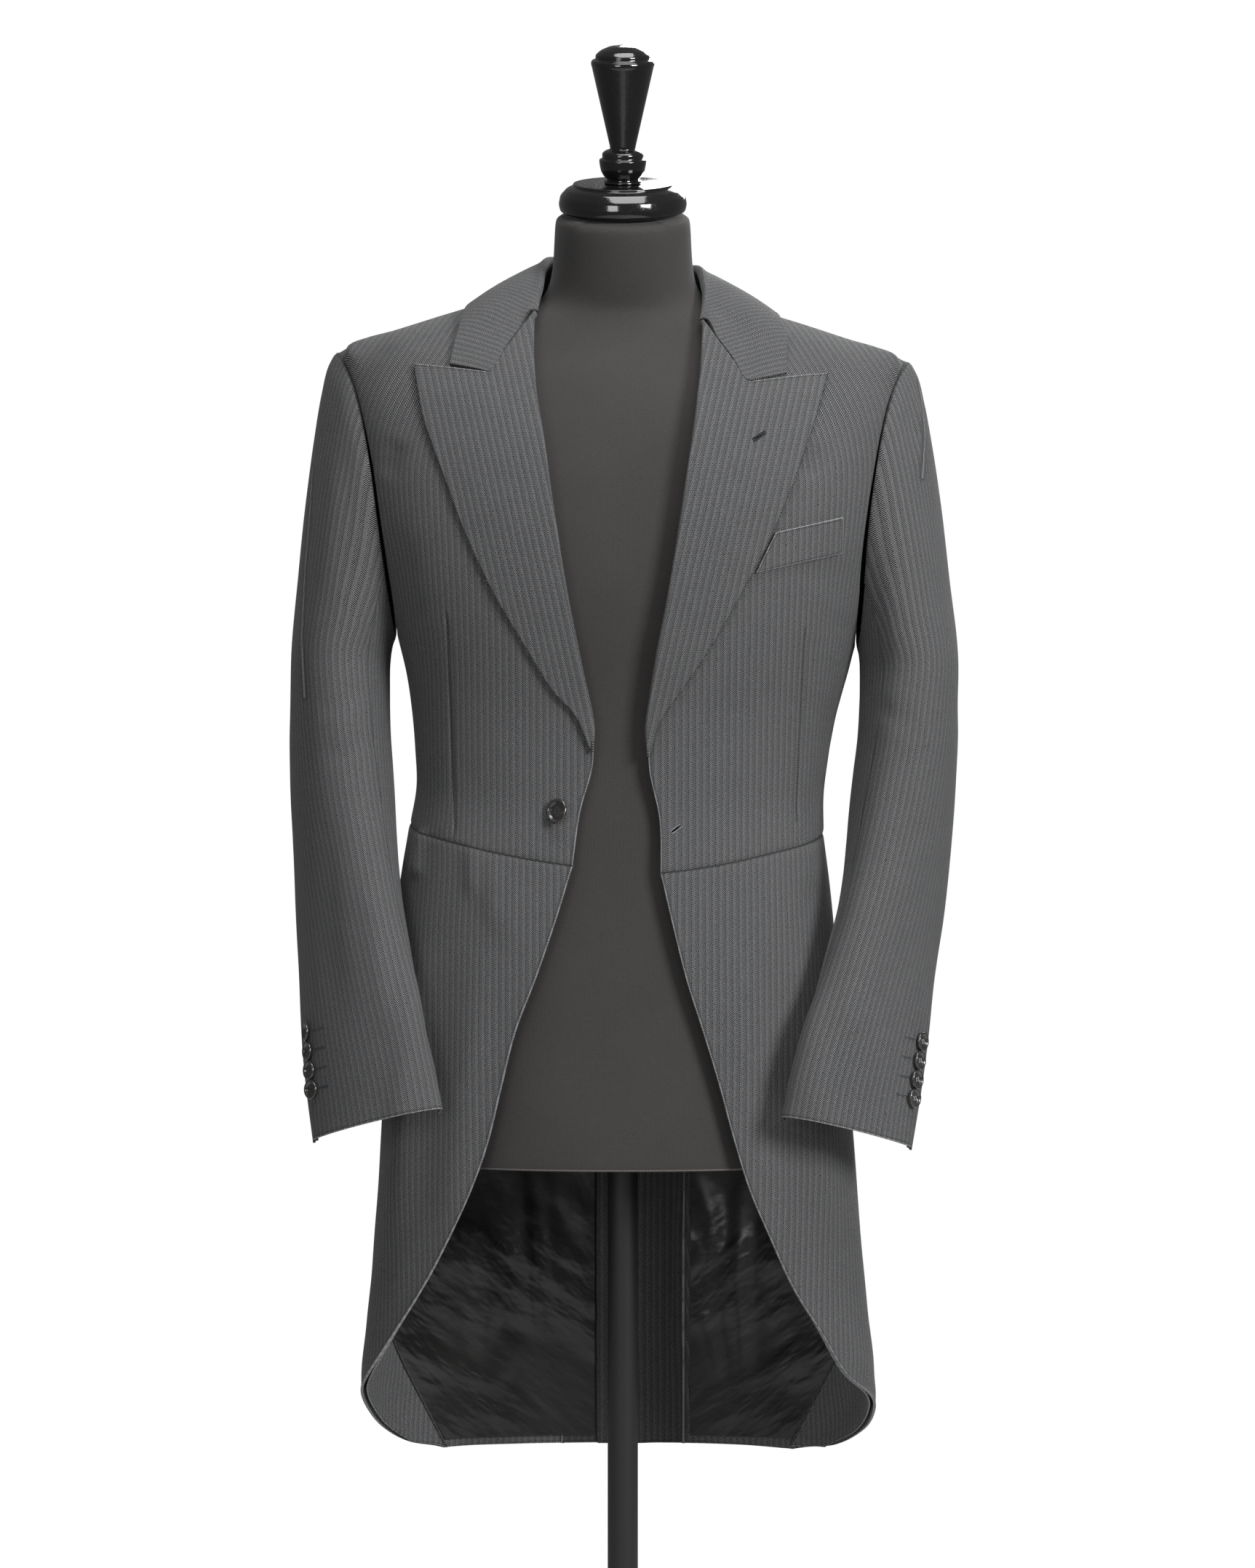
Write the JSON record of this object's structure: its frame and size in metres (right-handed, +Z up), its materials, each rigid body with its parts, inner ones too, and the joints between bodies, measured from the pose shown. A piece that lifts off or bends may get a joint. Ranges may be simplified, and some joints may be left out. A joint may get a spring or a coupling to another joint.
{
  "type": "morning coat on dress form",
  "caption": "Morning coat in grey herringbone with peaked lapels, cutaway fronts and long tails, worn open on a limbless dress form with a turned neck cap, on a pole and round base.",
  "frame": {"origin": "middle of the round base's underside, on the floor", "axes": "+Z up along the pole, -Y towards the front of the coat, +X towards the wearer's left"},
  "size_m": [0.5519, 0.38, 1.6049],
  "materials": {
    "herringbone": "woven wool, fine herringbone, matt",
    "lining": "dark satin",
    "button": "polished horn look",
    "jersey": "fine knitted jersey",
    "lacquered_wood": "black gloss lacquer",
    "black_steel": "black powder coat"
  },
  "bodies": {
    "root": {"form_torso": "jersey", "neck_cap": "lacquered_wood", "neck_handle": "lacquered_wood", "stand_pole": "black_steel", "stand_base": "black_steel", "forepart_right": "herringbone", "forepart_left": "herringbone", "side_body_right": "herringbone", "side_body_left": "herringbone", "back_right": "herringbone", "back_left": "herringbone", "skirt_right": "herringbone", "skirt_left": "herringbone", "lapel_right": "herringbone", "lapel_left": "herringbone", "skirt_facing_right": "herringbone", "skirt_facing_left": "herringbone", "skirt_lining_right": "lining", "skirt_lining_left": "lining", "top_sleeve_right": "herringbone", "top_sleeve_left": "herringbone", "under_sleeve_right": "herringbone", "under_sleeve_left": "herringbone", "collar": "herringbone", "breast_welt": "herringbone", "front_button": "button", "back_button_right": "button", "back_button_left": "button", "cuff_button_right_1": "button", "cuff_button_right_2": "button", "cuff_button_right_3": "button", "cuff_button_right_4": "button", "cuff_button_left_1": "button", "cuff_button_left_2": "button", "cuff_button_left_3": "button", "cuff_button_left_4": "button"}
  },
  "joints": []
}
